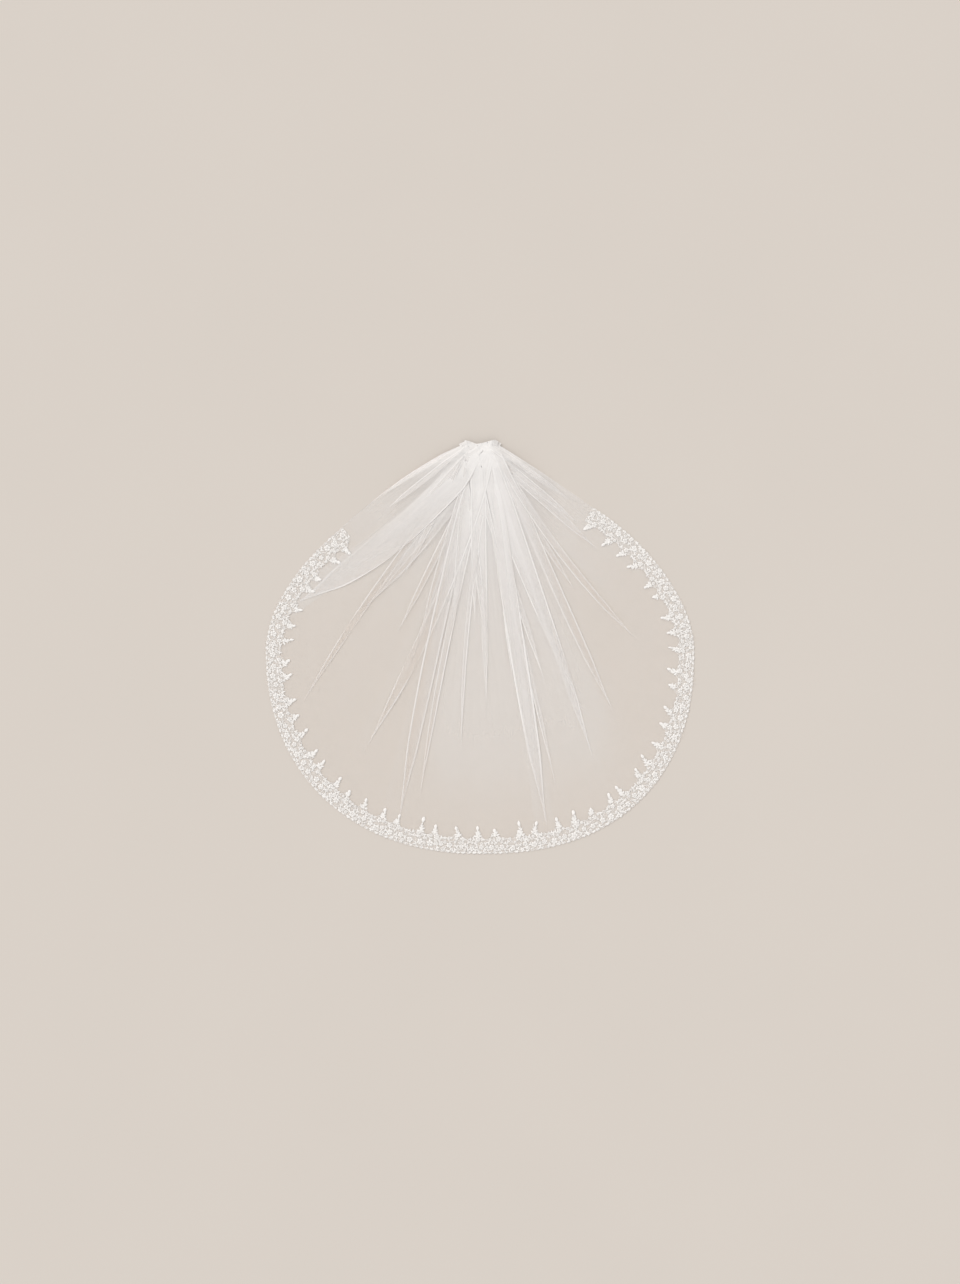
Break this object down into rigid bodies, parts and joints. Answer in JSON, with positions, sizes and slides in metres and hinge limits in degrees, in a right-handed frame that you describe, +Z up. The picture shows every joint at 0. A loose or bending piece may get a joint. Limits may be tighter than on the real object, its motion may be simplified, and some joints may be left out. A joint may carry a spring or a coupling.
{
  "type": "bridal veil",
  "caption": "Elbow-length bridal veil of soft net laid flat, gathered onto a hair comb, with a sprigged lace edging round its rounded hem.",
  "frame": {"origin": "on the table under the middle of the veil's outline", "axes": "+Z up from the table, +X to the right across the veil, +Y from the hem towards the comb"},
  "size_m": [0.794, 0.7658, 0.0188],
  "materials": {
    "tulle": "soft sheer net, warm white",
    "lace": "corded lace, warm white",
    "comb": "pale moulded plastic"
  },
  "bodies": {
    "root": {"tulle": "tulle", "lace_edging": "lace", "comb": "comb"}
  },
  "joints": []
}
